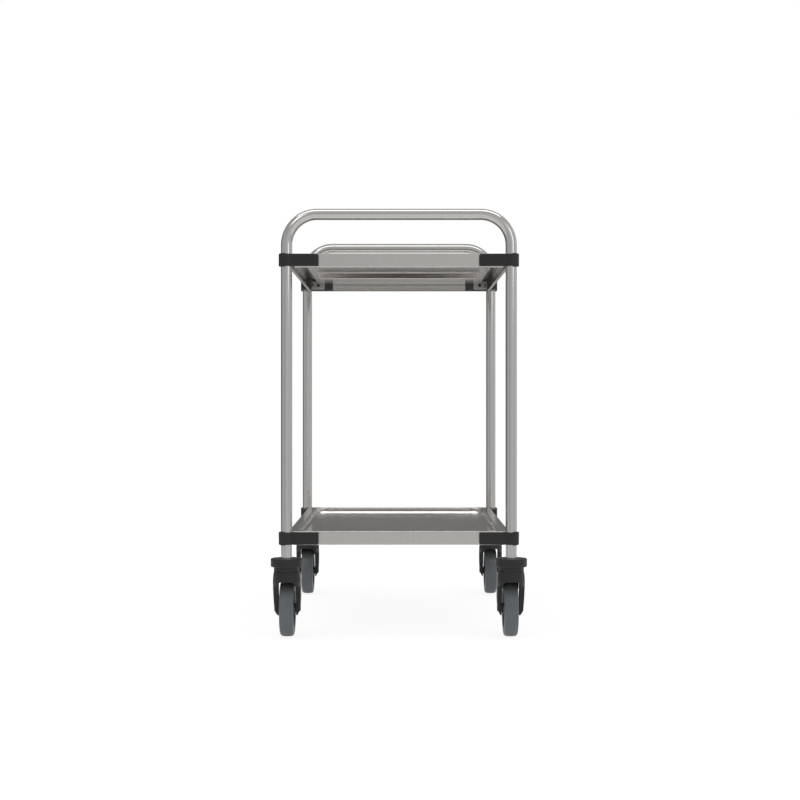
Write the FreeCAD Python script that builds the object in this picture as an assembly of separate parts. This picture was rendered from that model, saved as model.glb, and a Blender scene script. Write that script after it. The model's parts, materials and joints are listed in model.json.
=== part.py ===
import FreeCAD, Part
import math
import os

Vector = FreeCAD.Vector
ORIGIN = Vector(0, 0, 0)
ALONG_X = Vector(1, 0, 0)
ALONG_Y = Vector(0, 1, 0)
ALONG_Z = Vector(0, 0, 1)
CUT_OVERLAP = 1.0

# Two-shelf serving cart, in millimetres. X runs across the narrow end, Y along the shelves with the
# front end at -Y, Z up. The floor is at Z = 0 and the origin is under the middle of the whole cart.

# End frames, each one tube bent to a U whose top stands above the top shelf's rim by the rise
leg_spacing_x = 500.0
leg_spacing_y = 800.0
handle_rise = 99.0
tube_diameter = 25.0
tube_wall = 1.5
handle_bend_radius = 68.0

# Shelves, heights are those of the rim's upper face
top_shelf_height = 857.0
bottom_shelf_height = 238.0
shelf_setback = 3.0
flange_height = 31.0
sheet_thickness = 1.2
flange_bend_radius = 2.5
rim_width = 21.0
rim_bend_radius = 2.5
pan_depth = 12.0
pan_slope_run = 7.0
pan_corner_radius = 28.0
pan_floor_bend_radius = 7.0
hem_width = 8.0

# Hat-shaped stiffener under each pan
stiffener_length = 403.0
stiffener_height = 14.0
stiffener_cap_width = 26.0
stiffener_mouth_width = 52.0
stiffener_lip_width = 12.0
stiffener_end_slant = 6.0

# Corner connectors: a sleeve round the leg and two arms along the flanges
sleeve_wall = 5.0
sleeve_fit = 0.1
corner_height = 27.0
arm_length = 71.0
arm_root_reach = 14.0
arm_tip_reach = 10.0
arm_edge_radius = 1.2
arm_end_radius = 2.8
arm_skin = 2.5
bead_height = 30.5
bead_sweep = 60.0
bead_edge_radius = 4.0
rib_count = 3
rib_thickness = 1.6

# Inner clamps, their plates and screws
clamp_thickness = 9.0
clamp_length = 69.5
clamp_play = 0.3
clamp_groove_count = 4
clamp_groove_width = 2.0
clamp_groove_depth = 3.0
clamp_groove_pitch = 5.5
clamp_groove_margin = 3.0
plate_thickness = 2.0
plate_length = 48.0
plate_height = 22.0
screw_diameter = 4.0
screw_head_diameter = 7.5
screw_head_height = 2.6
screw_place = 31.0
screw_bite = 9.0
screw_hole_play = 0.2
screw_thread_play = 0.05
screw_boss_wall = 2.5

# Bumper discs at the leg ends
bumper_diameter = 70.6
bumper_thickness = 18.8
bumper_edge_radius = 2.4
bumper_socket_depth = 3.0

# Swivel heads with stem and kingpin
head_diameter = 56.6
head_height = 8.9
head_edge_radius = 0.6
head_gap = 0.8
stem_diameter = 12.0
stem_tip = 3.0
stem_play = 0.1
expander_length = 44.0
expander_play = 0.1
expander_groove_count = 3
expander_groove_width = 3.0
expander_groove_depth = 1.5
kingpin_diameter = 14.0
kingpin_play = 0.06
kingpin_nut_diameter = 22.0
kingpin_nut_height = 6.0
nut_play = 0.3
nut_recess_play = 1.0
bearing_diameter = 47.0
bearing_depth = 5.0
bearing_bore = 18.0
bearing_play = 0.3
bearing_top_play = 0.1
bearing_groove_radius = 1.6

# Wheels
wheel_diameter = 125.0
tyre_width = 31.0
tyre_thickness = 15.0
tyre_shoulder_radius = 6.5
tyre_crown = 0.8
hub_rim_thickness = 5.0
hub_web_thickness = 6.0
hub_boss_diameter = 24.0
hub_spoke_count = 6
hub_spoke_thickness = 4.0
hub_spoke_setback = 4.0
hub_side_play = 0.6
hub_bore_play = 0.2
bush_wall = 2.5
bush_length = 14.0
bush_flange_wall = 4.5
bush_flange_thickness = 1.0
axle_diameter = 8.0
axle_play = 0.06
axle_head_diameter = 13.0
axle_head_height = 2.4
axle_head_sink = 1.0
axle_head_radius = 1.2
axle_head_play = 0.3

# Forks
caster_trail = 32.0
wheel_gap = 40.0
fork_leg_wall = 8.2
fork_crown_flare = 1.8
fork_top_taper = 1.5
fork_arch_radius = 9.0
fork_arch_lip = 0.8
fork_tip_wall = 2.0
fork_tip_chamfer = 12.0
fork_end_radius = 16.0
fork_rear_reach = 36.0
fork_rear_round = 9.0
fork_leg_lead = 9.0
fork_shoulder_drop = 4.0
fork_skirt_height = 23.0
fork_front_hollow = 5.0
fork_crown_thickness = 22.9
wheel_clearance = 5.5
crown_above_wheel = 19.2
fork_edge_radius = 1.2

# Foot brakes on two of the casters
brake_angle = 12.0
brake_pivot_back = 42.0
brake_pivot_drop = 13.7
brake_pin_diameter = 5.0
brake_pin_play = 0.06
brake_ear_radius = 7.0
brake_ear_wall = 6.0
brake_side_play = 0.5
pedal_hub_radius = 6.0
pedal_thickness = 4.0
pedal_start = 4.0
pedal_end = 47.0
pedal_toe_start = 37.0
pedal_toe_height = 6.0
pedal_toe_overhang = 3.0
pedal_grip_count = 3
pedal_grip_sweep = 1.6
pedal_grip_height = 1.2
side_plate_gap = 1.3
side_plate_depth = 20.0
side_plate_end = 28.0
shoe_gap = 0.6
shoe_thickness = 4.0
shoe_start = 20.0
shoe_end = 38.0
shoe_width = 25.0

# Sizes that follow from those above
handle_height = top_shelf_height + handle_rise
tube_radius = tube_diameter / 2
tube_bore_radius = tube_radius - tube_wall
sleeve_radius = tube_radius + sleeve_fit + sleeve_wall
stem_radius = stem_diameter / 2
wheel_radius = wheel_diameter / 2
axle_height = wheel_radius
axle_radius = axle_diameter / 2
fork_gap_half = wheel_gap / 2
fork_leg_half = fork_gap_half + fork_leg_wall
fork_crown_radius = fork_leg_half + fork_crown_flare
fork_tunnel_radius = wheel_radius + wheel_clearance
fork_top = axle_height + fork_tunnel_radius + crown_above_wheel
crown_underside = fork_top - fork_crown_thickness
head_bottom = fork_top + head_gap
head_top = head_bottom + head_height
bumper_top = head_top + bumper_thickness
leg_bottom = bumper_top - bumper_socket_depth
expander_top = leg_bottom + expander_length
stem_end = expander_top + stem_tip
bumper_radius = bumper_diameter / 2
hub_half_length = fork_gap_half - hub_side_play
rim_radius = wheel_radius - tyre_thickness
flange_inside = shelf_setback + sheet_thickness
clamp_inside = flange_inside + clamp_thickness
plate_inside = clamp_inside + plate_thickness
brake_pivot = Vector(0, brake_pivot_back, fork_top - brake_pivot_drop)
pedal_half_width = fork_gap_half - brake_side_play
cart_shift = (bumper_radius - caster_trail - wheel_radius) / 2

SIDES = {"left": -1, "right": 1}
ENDS = {"front": -1, "rear": 1}
BRAKED = ("front_right", "rear_left")


def polygon_face(points):
    """Flat face bounded by straight edges through the points."""
    return Part.Face(Part.makePolygon(points + [points[0]]))


def arc(first, middle, last):
    """Circular edge through three points."""
    return Part.Arc(first, middle, last).toShape()


def line(first, last):
    """Straight edge between two points."""
    return Part.LineSegment(first, last).toShape()


def round_corner(before, corner, after, radius):
    """Start, middle and end of the arc that touches both lines of a corner."""
    back = (before - corner).normalize()
    onward = (after - corner).normalize()
    inward = (back + onward).normalize()
    half_angle = back.getAngle(inward)
    reach = radius / math.tan(half_angle)
    depth = radius / math.sin(half_angle) - radius
    return corner + back * reach, corner + inward * depth, corner + onward * reach


def turned(outline):
    """Solid of revolution about Z from (radius, height) corners."""
    points = [Vector(radius, 0, height) for radius, height in outline]
    return polygon_face(points).revolve(ORIGIN, ALONG_Z, 360)


def rounded_rims(shape, radius, rims):
    """Fillet the circular edges of a turned shape that lie at the given (radius, height) places."""
    edges = []
    for edge in shape.Edges:
        box = edge.BoundBox
        for place, height in rims:
            flat = abs(box.ZMin - height) < 1e-4 and abs(box.ZMax - height) < 1e-4
            if flat and abs(box.XMax - place) < 1e-4:
                edges.append(edge)
    return shape.makeFillet(radius, edges)


def laid_on_axle(shape):
    """Turn a shape revolved about Z so that it lies about the wheel axle, which runs along X."""
    laid = shape.copy()
    laid.rotate(ORIGIN, ALONG_Y, 90)
    laid.translate(Vector(0, caster_trail, axle_height))
    return laid


def rounded_rectangle(half_x, half_y, radius, height):
    """Closed wire of four lines and four quarter arcs about the Z axis."""
    arcs = []
    for turn, (side, end) in enumerate(((1, 1), (-1, 1), (-1, -1), (1, -1))):
        centre = Vector(side * (half_x - radius), end * (half_y - radius), height)
        points = []
        for degrees in (0, 45, 90):
            angle = math.radians(90 * turn + degrees)
            points.append(centre + Vector(radius * math.cos(angle), radius * math.sin(angle), 0))
        arcs.append(points)
    edges = []
    for turn, points in enumerate(arcs):
        edges.append(arc(*points))
        edges.append(line(points[2], arcs[(turn + 1) % 4][0]))
    return Part.Wire(edges)


def at_leg(shape, side, end, height):
    """Mirror a piece drawn for the front left leg to another leg and lift it."""
    placed = shape.copy()
    if side > 0:
        placed = placed.mirror(ORIGIN, ALONG_X)
    if end > 0:
        placed = placed.mirror(ORIGIN, ALONG_Y)
    placed.translate(Vector(side * leg_spacing_x / 2, end * leg_spacing_y / 2, height))
    return placed


def at_every_leg(shape, height):
    """Group of four copies of a piece, one at each leg."""
    copies = [at_leg(shape, side, end, height) for end in ENDS.values() for side in SIDES.values()]
    return Part.makeCompound(copies)


def end_frame():
    """U-shaped tube: up one leg, across as the handle and down the other leg."""
    half = leg_spacing_x / 2
    top = handle_height - tube_radius
    bend_start = top - handle_bend_radius
    lean = handle_bend_radius * (1 - math.sqrt(0.5))
    left_foot = Vector(-half, 0, leg_bottom)
    right_foot = Vector(half, 0, leg_bottom)
    left_knee = Vector(-half, 0, bend_start)
    right_knee = Vector(half, 0, bend_start)
    left_wrist = Vector(-half + handle_bend_radius, 0, top)
    right_wrist = Vector(half - handle_bend_radius, 0, top)
    path = Part.Wire([
        line(left_foot, left_knee),
        arc(left_knee, Vector(-half + lean, 0, top - lean), left_wrist),
        line(left_wrist, right_wrist),
        arc(right_wrist, Vector(half - lean, 0, top - lean), right_knee),
        line(right_knee, right_foot),
    ])
    bars = []
    for radius in (tube_radius, tube_bore_radius):
        ring = Part.Wire(Part.makeCircle(radius, left_foot, ALONG_Z))
        bars.append(path.makePipeShell([ring], True, False))
    return bars[0].cut(bars[1])


def pan_block(thickness):
    """Tapered block of the pan: its upper surface at thickness 0, its underside at the sheet's thickness."""
    slope_length = math.hypot(pan_depth, pan_slope_run)
    spread = thickness * (slope_length - pan_slope_run) / pan_depth
    mouth_x = leg_spacing_x / 2 - shelf_setback - rim_width + spread
    mouth_y = leg_spacing_y / 2 - shelf_setback - rim_width + spread
    floor_wire = rounded_rectangle(
        mouth_x - pan_slope_run, mouth_y - pan_slope_run, pan_corner_radius + spread, -pan_depth - thickness)
    mouth_wire = rounded_rectangle(
        mouth_x, mouth_y, pan_corner_radius + pan_slope_run + spread, -thickness)
    block = Part.makeLoft([floor_wire, mouth_wire], True, True)
    floor_edges = [edge for edge in block.Edges if edge.BoundBox.ZMax < -pan_depth - thickness + 1e-4]
    return block.makeFillet(pan_floor_bend_radius + thickness, floor_edges)


def flange_box(inset):
    """Box of the shelf's outer faces, drawn in by inset, with its upper and lower edges rounded."""
    half_x = leg_spacing_x / 2 - shelf_setback - inset
    half_y = leg_spacing_y / 2 - shelf_setback - inset
    height = flange_height - 2 * inset
    box = Part.makeBox(2 * half_x, 2 * half_y, height, Vector(-half_x, -half_y, inset - flange_height))
    level = [edge for edge in box.Edges if edge.BoundBox.ZLength < 1e-4]
    return box.makeFillet(flange_bend_radius - inset, level)


def screw_bar(radius, start, end):
    """Round bars along the screw's axis in the connector arm along X and in the arm along Y."""
    length = end - start
    return [
        Part.makeCylinder(radius, length, Vector(screw_place, start, 0), ALONG_Y),
        Part.makeCylinder(radius, length, Vector(start, screw_place, 0), ALONG_X),
    ]


def shelf():
    """Pressed shelf with its rim's upper face at height 0: rim, pan, flange, hem, leg notches, holes."""
    opening_x = leg_spacing_x / 2 - shelf_setback - hem_width
    opening_y = leg_spacing_y / 2 - shelf_setback - hem_width
    opening = Part.makeBox(
        2 * opening_x, 2 * opening_y, 2 * sheet_thickness, Vector(-opening_x, -opening_y, -flange_height))
    tray = flange_box(0).cut([flange_box(sheet_thickness), opening])
    tray = tray.fuse(pan_block(sheet_thickness)).cut(pan_block(0))
    mouth = [edge for edge in tray.Edges if is_pan_mouth(edge.BoundBox)]
    tray = tray.makeFillet(rim_bend_radius, mouth)
    notch = Part.makeCylinder(
        sleeve_radius + clamp_play, flange_height - sheet_thickness, Vector(0, 0, -flange_height))
    notch = notch.fuse(Part.makeCylinder(
        tube_radius + clamp_play, 2 * flange_height, Vector(0, 0, -flange_height)))
    holes = screw_bar(screw_diameter / 2 + screw_hole_play, shelf_setback - CUT_OVERLAP,
                      flange_inside + CUT_OVERLAP)
    for hole in holes:
        hole.translate(Vector(0, 0, -flange_height / 2))
    cuts = at_every_leg(notch.fuse(holes), 0)
    return tray.cut(cuts).removeSplitter()


def is_pan_mouth(box):
    """True for the edges where the rim's upper face bends down into the pan."""
    level = abs(box.ZMin) < 1e-4 and abs(box.ZMax) < 1e-4
    reach = leg_spacing_x / 2 - shelf_setback - rim_width
    return level and box.XMax < reach + 1e-3 and box.XMin > -reach - 1e-3


def stiffener():
    """Hat channel across the cart with slanted ends, its lips at height 0 against the pan."""
    cap = stiffener_cap_width / 2
    mouth = stiffener_mouth_width / 2
    lip = mouth + stiffener_lip_width
    wall = sheet_thickness
    half = [
        (lip, 0), (lip, -wall), (mouth + wall, -wall), (cap + wall, -stiffener_height),
    ]
    hollow = [(cap, wall - stiffener_height), (mouth, 0)]
    right = [Vector(0, y, z) for y, z in half]
    left = [Vector(0, -y, z) for y, z in reversed(half)]
    left_hollow = [Vector(0, -y, z) for y, z in reversed(hollow)]
    right_hollow = [Vector(0, y, z) for y, z in hollow]
    face = polygon_face(right + left + left_hollow + right_hollow)
    channel = face.extrude(Vector(stiffener_length, 0, 0))
    channel.translate(Vector(-stiffener_length / 2, 0, 0))
    for side in (-1, 1):
        tip = side * stiffener_length / 2
        beyond = tip + side * CUT_OVERLAP
        slope = polygon_face([
            Vector(tip, -lip, 0), Vector(beyond, -lip, 0), Vector(beyond, -lip, -stiffener_height),
            Vector(tip - side * stiffener_end_slant, -lip, -stiffener_height),
        ])
        channel = channel.cut(slope.extrude(Vector(0, 2 * lip, 0)))
    return channel


def connector_arm():
    """Arm along X in front of the flange: tapered in plan, edges rounded, cored from the flange side."""
    half = corner_height / 2
    face = polygon_face([
        Vector(0, -arm_root_reach, -half), Vector(arm_length, -arm_tip_reach, -half),
        Vector(arm_length, shelf_setback, -half), Vector(0, shelf_setback, -half),
    ])
    bar = face.extrude(Vector(0, 0, corner_height))
    end = [edge for edge in bar.Edges if edge.BoundBox.XMin > arm_length - 1e-4 and edge.BoundBox.YLength > 1]
    bar = bar.makeFillet(arm_end_radius, end)
    outer = [edge for edge in bar.Edges if edge.BoundBox.YMax < shelf_setback - 1e-4]
    outer = [edge for edge in outer if edge.BoundBox.XMax > 1e-4]
    bar = bar.makeFillet(arm_edge_radius, outer)
    core_start = sleeve_radius + arm_skin
    core_end = arm_length - arm_skin
    core_front = arm_skin - arm_tip_reach
    core = Part.makeBox(
        core_end - core_start, shelf_setback - core_front, corner_height - 2 * arm_skin,
        Vector(core_start, core_front, arm_skin - half))
    pitch = (core_end - core_start) / (rib_count + 1)
    for rib in range(1, rib_count + 1):
        place = core_start + rib * pitch - rib_thickness / 2
        core = core.cut(Part.makeBox(
            rib_thickness, shelf_setback - core_front, corner_height, Vector(place, core_front, -half)))
    return bar.cut(core)


def corner_connector():
    """Moulded connector for the front left leg, its mid height at 0."""
    half = corner_height / 2
    body = Part.makeCylinder(sleeve_radius, corner_height, Vector(0, 0, -half))
    bead = Part.makeCylinder(
        sleeve_radius, bead_height, Vector(0, 0, -bead_height / 2), ALONG_Z, bead_sweep)
    bead.rotate(ORIGIN, ALONG_Z, 225 - bead_sweep / 2)
    rim = [edge for edge in bead.Edges if is_bead_rim(edge)]
    bead = bead.makeFillet(bead_edge_radius, rim)
    arm = connector_arm()
    twin = arm.mirror(ORIGIN, Vector(1, -1, 0))
    body = body.fuse([bead, arm, twin])
    boss_start = arm_skin - arm_tip_reach
    body = body.fuse(screw_bar(screw_diameter / 2 + screw_boss_wall, boss_start, shelf_setback))
    thread = screw_diameter / 2 + screw_thread_play
    body = body.cut(screw_bar(thread, shelf_setback - screw_bite, shelf_setback))
    bore = Part.makeCylinder(tube_radius + sleeve_fit, bead_height, Vector(0, 0, -bead_height / 2))
    return body.cut(bore).removeSplitter()


def is_bead_rim(edge):
    """True for the curved edges at the bead's two ends."""
    return edge.Curve.TypeId == "Part::GeomCircle"


def inner_clamp():
    """L-shaped block inside the flange corner, hollowed round the sleeve, grooved at both ends."""
    height = flange_height - 2 * sheet_thickness - 2 * clamp_play
    half = height / 2
    corners = [
        (flange_inside, flange_inside), (clamp_length, flange_inside), (clamp_length, clamp_inside),
        (clamp_inside, clamp_inside), (clamp_inside, clamp_length), (flange_inside, clamp_length),
    ]
    face = polygon_face([Vector(x, y, -half) for x, y in corners])
    block = face.extrude(Vector(0, 0, height))
    level = [edge for edge in block.Edges if edge.BoundBox.ZLength < 1e-4]
    outer = [edge for edge in level if min(edge.BoundBox.XMax, edge.BoundBox.YMax) < flange_inside + 1e-4]
    block = block.makeFillet(flange_bend_radius, outer)
    cuts = [Part.makeCylinder(sleeve_radius + clamp_play, height, Vector(0, 0, -half))]
    depth = clamp_inside - clamp_groove_depth
    for groove in range(clamp_groove_count):
        place = clamp_length - clamp_groove_margin - clamp_groove_width - groove * clamp_groove_pitch
        cuts.append(Part.makeBox(clamp_groove_width, clamp_groove_depth, height, Vector(place, depth, -half)))
        cuts.append(Part.makeBox(clamp_groove_depth, clamp_groove_width, height, Vector(depth, place, -half)))
    cuts += screw_bar(screw_diameter / 2 + screw_hole_play, flange_inside, clamp_inside)
    return block.cut(cuts)


def clamp_plate():
    """Bent steel plate on the inner faces of the clamp."""
    corners = [
        (clamp_inside, clamp_inside), (plate_length, clamp_inside), (plate_length, plate_inside),
        (plate_inside, plate_inside), (plate_inside, plate_length), (clamp_inside, plate_length),
    ]
    face = polygon_face([Vector(x, y, -plate_height / 2) for x, y in corners])
    plate = face.extrude(Vector(0, 0, plate_height))
    return plate.cut(screw_bar(screw_diameter / 2 + screw_hole_play, clamp_inside, plate_inside))


def corner_screws():
    """The screws of one corner, heads on the plate, tips in the connector arms."""
    shanks = screw_bar(screw_diameter / 2, shelf_setback - screw_bite, plate_inside)
    heads = screw_bar(screw_head_diameter / 2, plate_inside, plate_inside + screw_head_height)
    return Part.makeCompound([shank.fuse(head) for shank, head in zip(shanks, heads)])


def bumper_disc():
    """Round bumper with a socket for the leg end and a bore for the stem."""
    bore = stem_radius + stem_play
    socket = tube_radius + sleeve_fit
    disc = turned([
        (bore, head_top), (bumper_radius, head_top), (bumper_radius, bumper_top),
        (socket, bumper_top), (socket, leg_bottom), (bore, leg_bottom),
    ])
    return rounded_rims(disc, bumper_edge_radius, [(bumper_radius, head_top), (bumper_radius, bumper_top)])


def swivel_head():
    """Round head with the stem up into the leg and the kingpin down through the fork."""
    radius = head_diameter / 2
    kingpin = kingpin_diameter / 2
    pin_end = crown_underside + nut_play
    head = turned([
        (0, pin_end), (kingpin, pin_end), (kingpin, head_bottom), (radius, head_bottom),
        (radius, head_top), (stem_radius, head_top), (stem_radius, stem_end), (0, stem_end),
    ])
    return rounded_rims(head, head_edge_radius, [(radius, head_bottom), (radius, head_top)])


def stem_expander():
    """Grooved sleeve that wedges the stem inside the leg."""
    top = expander_top
    bottom = leg_bottom
    bore = stem_radius + stem_play
    radius = tube_bore_radius - expander_play
    sleeve = turned([(bore, bottom), (radius, bottom), (radius, top), (bore, top)])
    pitch = expander_length / (expander_groove_count + 1)
    for groove in range(1, expander_groove_count + 1):
        middle = bottom + groove * pitch
        low = middle - expander_groove_width / 2
        high = middle + expander_groove_width / 2
        root = radius - expander_groove_depth
        beyond = radius + CUT_OVERLAP
        sleeve = sleeve.cut(turned([(root, low), (beyond, low), (beyond, high), (root, high)]))
    return sleeve


def kingpin_nut():
    """Round nut on the kingpin's end, sunk in the crown."""
    bore = kingpin_diameter / 2 + screw_thread_play
    radius = kingpin_nut_diameter / 2
    bottom = crown_underside + nut_play
    top = bottom + kingpin_nut_height
    return turned([(bore, bottom), (radius, bottom), (radius, top), (bore, top)])


def swivel_bearing():
    """Thrust bearing ring in the crown's recess, with a ball groove round its edge."""
    bore = bearing_bore / 2
    radius = bearing_diameter / 2
    bottom = fork_top - bearing_depth
    top = head_bottom - bearing_top_play
    ring = turned([(bore, bottom), (radius, bottom), (radius, top), (bore, top)])
    groove = Part.makeTorus(radius, bearing_groove_radius, Vector(0, 0, (bottom + top) / 2))
    return ring.cut(groove)


def fork_leg_outline():
    """Side view of a fork leg: shoulder under the crown, hollow front edge, round end about the axle."""
    top = fork_top - fork_shoulder_drop
    front_top = Vector(0, -fork_leg_lead, top)
    rear_corner = Vector(0, fork_rear_reach, top)
    away = rear_corner - Vector(0, caster_trail, axle_height)
    touch = math.atan2(away.z, away.y) - math.acos(fork_end_radius / away.Length)
    rear_axle = Vector(
        0, caster_trail + fork_end_radius * math.cos(touch), axle_height + fork_end_radius * math.sin(touch))
    rear_top, rear_bend, rear_side = round_corner(front_top, rear_corner, rear_axle, fork_rear_round)
    tip = Vector(0, caster_trail, axle_height - fork_end_radius)
    front_axle = Vector(0, caster_trail - fork_end_radius, axle_height)
    front_shoulder = Vector(0, -fork_leg_lead, fork_top - fork_skirt_height)
    chord = front_shoulder - front_axle
    inward = Vector(0, chord.z, -chord.y)
    inward.normalize()
    hollow = (front_axle + front_shoulder) * 0.5 + inward * fork_front_hollow
    return Part.Wire([
        line(front_top, rear_top),
        arc(rear_top, rear_bend, rear_side),
        line(rear_side, rear_axle),
        arc(rear_axle, tip, front_axle),
        arc(front_axle, hollow, front_shoulder),
        line(front_shoulder, front_top),
    ])


def fork_cheek():
    """Block bounded by the fork's bulged outer face: full at the crown, leaning in, chamfered at the tip."""
    front = -2 * fork_crown_radius
    bottom = axle_height - fork_end_radius
    top = Vector(fork_crown_radius - fork_top_taper, front, fork_top)
    shoulder = Vector(fork_crown_radius, front, crown_underside)
    ankle = Vector(fork_leg_half, front, bottom + fork_tip_chamfer)
    tip = Vector(fork_gap_half + fork_tip_wall, front, bottom)
    bulge = Part.BSplineCurve()
    bulge.interpolate([top, shoulder, ankle])
    face = Part.Face(Part.Wire([
        bulge.toShape(),
        line(ankle, tip),
        line(tip, Vector(0, front, bottom)),
        line(Vector(0, front, bottom), Vector(0, front, fork_top)),
        line(Vector(0, front, fork_top), top),
    ]))
    return face.extrude(Vector(0, 2 * (caster_trail + fork_end_radius) - 2 * front, 0))


def fork_leg():
    """Right leg: side outline extruded from the wheel gap to the bulged face, outer edges rounded."""
    face = Part.Face(fork_leg_outline())
    face.translate(Vector(fork_gap_half, 0, 0))
    leg = face.extrude(Vector(fork_crown_radius, 0, 0)).common(fork_cheek())
    outer = [edge for edge in leg.Edges if edge.BoundBox.XMin > fork_gap_half + 1e-3]
    return leg.makeFillet(fork_edge_radius, outer)


def fork_crown():
    """Round crown about the kingpin, rim rounded, reaching down past the spring of the front arch."""
    top = fork_crown_radius - fork_top_taper
    skirt = crown_underside - fork_arch_radius - fork_edge_radius
    crown = turned([
        (0, skirt), (fork_crown_radius, skirt), (fork_crown_radius, crown_underside), (top, fork_top),
        (0, fork_top),
    ])
    return rounded_rims(crown, fork_edge_radius, [(top, fork_top)])


def brake_ears():
    """Two ears behind the crown that carry the pedal's pin."""
    root_low = Vector(fork_gap_half, 0, brake_pivot.z - brake_ear_radius)
    root_high = Vector(fork_gap_half, 0, brake_pivot.z + brake_ear_radius)
    reach = Vector(0, brake_pivot.y, 0)
    tip = Vector(fork_gap_half, brake_pivot.y + brake_ear_radius, brake_pivot.z)
    face = Part.Face(Part.Wire([
        line(root_low, root_low + reach),
        arc(root_low + reach, tip, root_high + reach),
        line(root_high + reach, root_high),
        line(root_high, root_low),
    ]))
    ear = face.extrude(Vector(brake_ear_wall, 0, 0))
    return [ear, ear.mirror(ORIGIN, ALONG_X)]


def front_arch():
    """Opening in front of the wheel, a lip inside the gap, with round upper corners under the crown."""
    half = fork_gap_half - fork_arch_lip
    spring = crown_underside - fork_arch_radius
    lean = fork_arch_radius * (1 - math.sqrt(0.5))
    front = Vector(0, -fork_crown_radius, 0)
    left_spring = front + Vector(-half, 0, spring)
    left_top = front + Vector(fork_arch_radius - half, 0, crown_underside)
    right_top = front + Vector(half - fork_arch_radius, 0, crown_underside)
    right_spring = front + Vector(half, 0, spring)
    face = Part.Face(Part.Wire([
        line(front + Vector(-half, 0, 0), left_spring),
        arc(left_spring, front + Vector(lean - half, 0, crown_underside - lean), left_top),
        line(left_top, right_top),
        arc(right_top, front + Vector(half - lean, 0, crown_underside - lean), right_spring),
        line(right_spring, front + Vector(half, 0, 0)),
        line(front + Vector(half, 0, 0), front + Vector(-half, 0, 0)),
    ]))
    return face.extrude(Vector(0, fork_crown_radius + caster_trail, 0))


def across(radius, half_width, place):
    """Round bar along X through a place in the caster's middle plane."""
    return Part.makeCylinder(radius, 2 * half_width, place - Vector(half_width, 0, 0), ALONG_X)


def fork(braked):
    """Moulded fork: crown and two legs, then the wheel tunnel, bores and recesses cut."""
    axle = Vector(0, caster_trail, axle_height)
    leg = fork_leg()
    body = fork_crown().fuse([leg, leg.mirror(ORIGIN, ALONG_X)])
    if braked:
        body = body.fuse(brake_ears())
    cuts = [
        across(fork_tunnel_radius, fork_gap_half, axle),
        front_arch(),
        across(axle_radius + axle_play, fork_crown_radius, axle),
        Part.makeCylinder(kingpin_diameter / 2 + kingpin_play, fork_top, ORIGIN),
        Part.makeCylinder(
            kingpin_nut_diameter / 2 + nut_recess_play, kingpin_nut_height + 2 * nut_play + crown_underside,
            ORIGIN),
        Part.makeCylinder(
            bearing_diameter / 2 + bearing_play, bearing_depth, Vector(0, 0, fork_top - bearing_depth)),
    ]
    head_recess = Part.makeCylinder(
        axle_head_diameter / 2 + axle_head_play, fork_crown_radius - axle_seat(),
        axle + Vector(axle_seat(), 0, 0), ALONG_X)
    cuts += [head_recess, head_recess.mirror(ORIGIN, ALONG_X)]
    if braked:
        cuts.append(across(brake_pin_diameter / 2 + screw_thread_play, fork_crown_radius, brake_pivot))
    return body.cut(cuts)


def axle_seat():
    """Distance from the middle plane to the seat of the axle's heads, which stand proud of the legs."""
    return fork_leg_half - axle_head_sink


def axle():
    """Riveted wheel axle with a round-edged head set into each leg."""
    seat = axle_seat()
    head = seat + axle_head_height
    radius = axle_head_diameter / 2
    rivet = turned([
        (0, -head), (radius, -head), (radius, -seat), (axle_radius, -seat),
        (axle_radius, seat), (radius, seat), (radius, head), (0, head),
    ])
    return laid_on_axle(rounded_rims(rivet, axle_head_radius, [(radius, -head), (radius, head)]))


def tyre():
    """Tyre with a slightly crowned tread and rounded shoulders."""
    half = tyre_width / 2
    shoulder = wheel_radius - tyre_crown
    edges = [
        line(Vector(rim_radius, 0, -half), Vector(shoulder - tyre_shoulder_radius, 0, -half)),
    ]
    flat = half - tyre_shoulder_radius
    diagonal = tyre_shoulder_radius * math.sqrt(0.5)
    inner = shoulder - tyre_shoulder_radius
    edges.append(arc(
        Vector(inner, 0, -half), Vector(inner + diagonal, 0, -flat - diagonal), Vector(shoulder, 0, -flat)))
    edges.append(arc(Vector(shoulder, 0, -flat), Vector(wheel_radius, 0, 0), Vector(shoulder, 0, flat)))
    edges.append(arc(
        Vector(shoulder, 0, flat), Vector(inner + diagonal, 0, flat + diagonal), Vector(inner, 0, half)))
    edges.append(line(Vector(inner, 0, half), Vector(rim_radius, 0, half)))
    edges.append(line(Vector(rim_radius, 0, half), Vector(rim_radius, 0, -half)))
    ring = Part.Face(Part.Wire(edges)).revolve(ORIGIN, ALONG_Z, 360)
    return laid_on_axle(ring)


def wheel_hub():
    """Spoked hub: rim under the tyre, web, boss bored for the two bushes."""
    half = tyre_width / 2
    web = hub_web_thickness / 2
    boss = hub_boss_diameter / 2
    end = hub_half_length - bush_flange_thickness
    inside = rim_radius - hub_rim_thickness
    hub = turned([
        (0, -end), (boss, -end), (boss, -web), (inside, -web), (inside, -half), (rim_radius, -half),
        (rim_radius, half), (inside, half), (inside, web), (boss, web), (boss, end), (0, end),
    ])
    spoke_half = half - hub_spoke_setback
    spokes = []
    for spoke in range(hub_spoke_count):
        bar = Part.makeBox(
            inside - boss + 2 * hub_rim_thickness, hub_spoke_thickness, 2 * spoke_half,
            Vector(boss - hub_rim_thickness, -hub_spoke_thickness / 2, -spoke_half))
        bar.rotate(ORIGIN, ALONG_Z, spoke * 360 / hub_spoke_count)
        spokes.append(bar)
    hub = hub.fuse(spokes)
    bores = [Part.makeCylinder(axle_radius + hub_bore_play, 2 * end, Vector(0, 0, -end))]
    for start in (-end, end - bush_length):
        bores.append(Part.makeCylinder(axle_radius + axle_play + bush_wall, bush_length, Vector(0, 0, start)))
    return laid_on_axle(hub.cut(bores).removeSplitter())


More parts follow.
